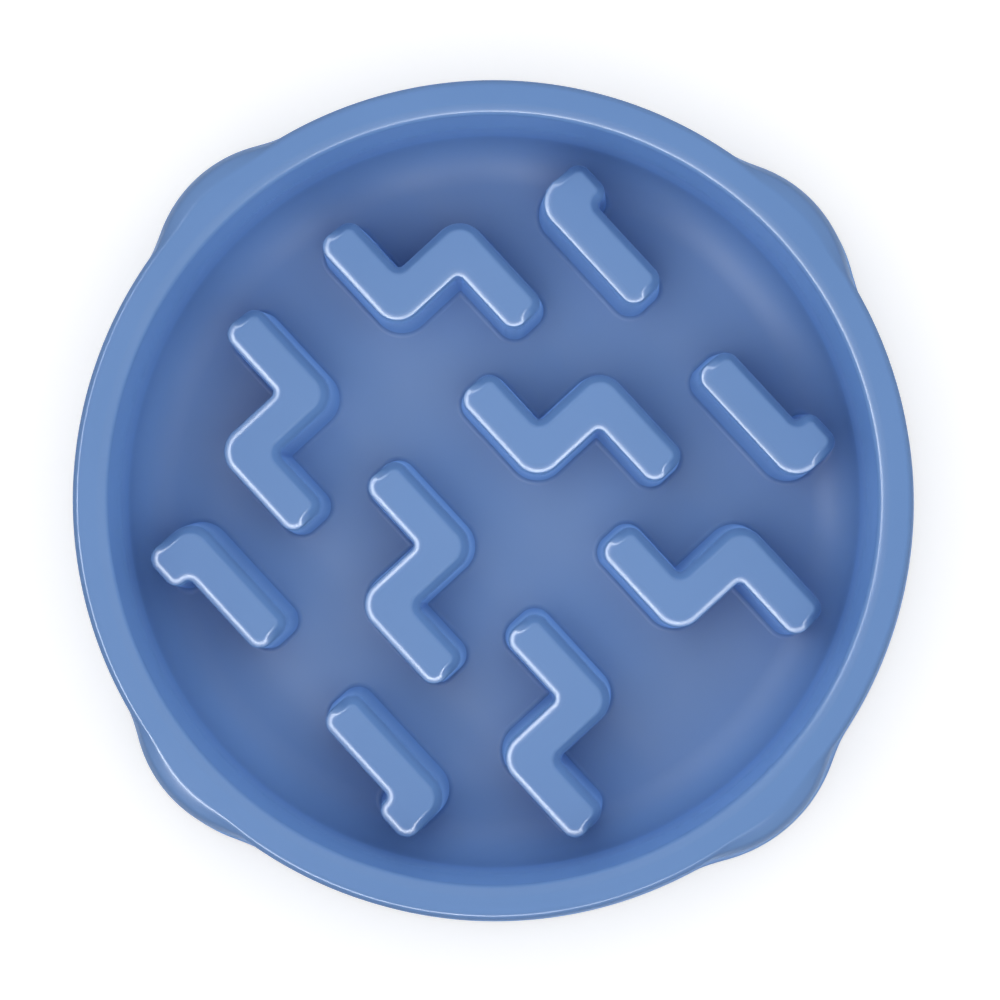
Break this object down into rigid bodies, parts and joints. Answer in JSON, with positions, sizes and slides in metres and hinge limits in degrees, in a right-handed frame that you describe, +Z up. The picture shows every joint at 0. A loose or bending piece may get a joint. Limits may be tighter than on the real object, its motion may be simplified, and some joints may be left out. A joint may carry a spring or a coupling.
{
  "type": "slow feeder bowl",
  "caption": "Round pet bowl with a flat rim, zigzag ridges on its floor that slow down eating, lobes round its skirt and push-in rubber feet.",
  "frame": {"origin": "middle of the bowl, on the plane that its feet stand on", "axes": "+Z up out of the bowl; seen from above with +X to the right and +Y away from the user, the lobes point along the diagonals"},
  "size_m": [0.23, 0.23, 0.05],
  "materials": {
    "shell": "satin moulded polypropylene, mid blue",
    "feet": "matt dark grey rubber"
  },
  "bodies": {
    "root": {"bowl": "shell", "foot_front_left": "feet", "foot_front_right": "feet", "foot_back_left": "feet", "foot_back_right": "feet"}
  },
  "joints": []
}
